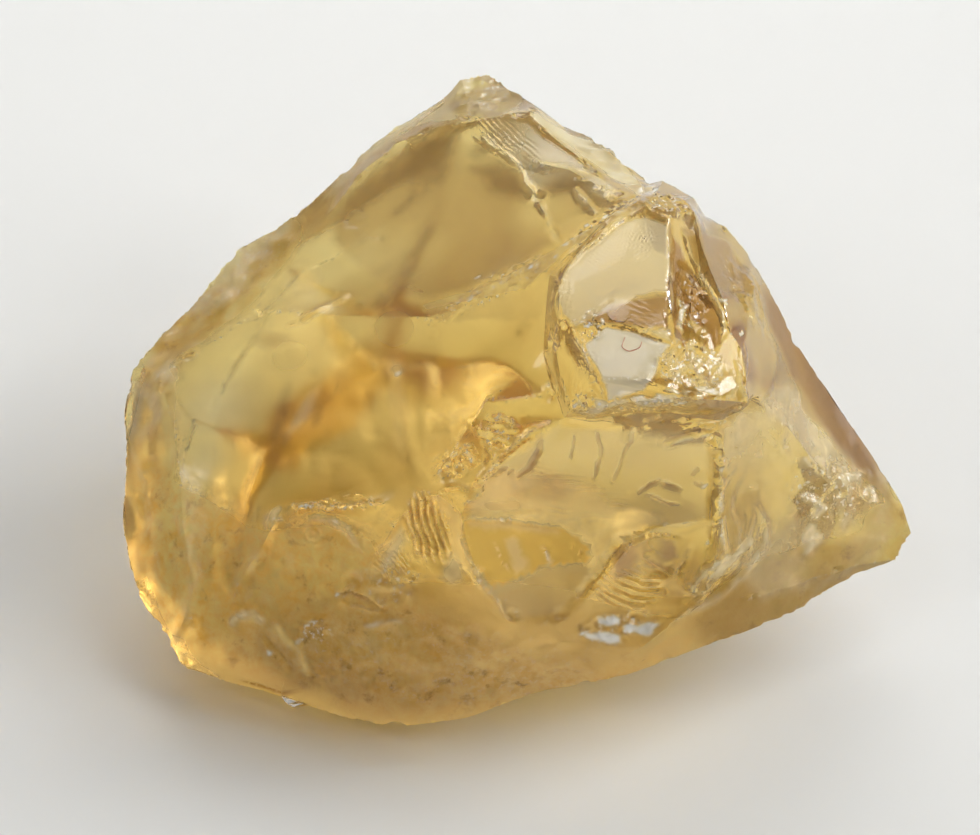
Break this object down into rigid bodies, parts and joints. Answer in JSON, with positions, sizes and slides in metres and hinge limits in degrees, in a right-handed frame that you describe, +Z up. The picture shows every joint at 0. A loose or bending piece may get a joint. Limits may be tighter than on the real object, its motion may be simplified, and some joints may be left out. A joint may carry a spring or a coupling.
{
  "type": "scapolite rough",
  "caption": "Irregular broken lump of clear honey-coloured crystal with dished fracture faces, a sharp knob near its top and one flat face to rest on.",
  "frame": {"origin": "middle of the stone's footprint, on the plane of the flat face it rests on", "axes": "+Z up, +X along the stone's longest way towards its pointed tip, +Y away from the broad sloping face"},
  "size_m": [0.0182, 0.0142, 0.0106],
  "materials": {
    "scapolite": "transparent honey yellow, glossy on fresh fracture faces, waxy and stained on the old skin"
  },
  "bodies": {
    "root": {"scapolite_rough": "scapolite"}
  },
  "joints": []
}
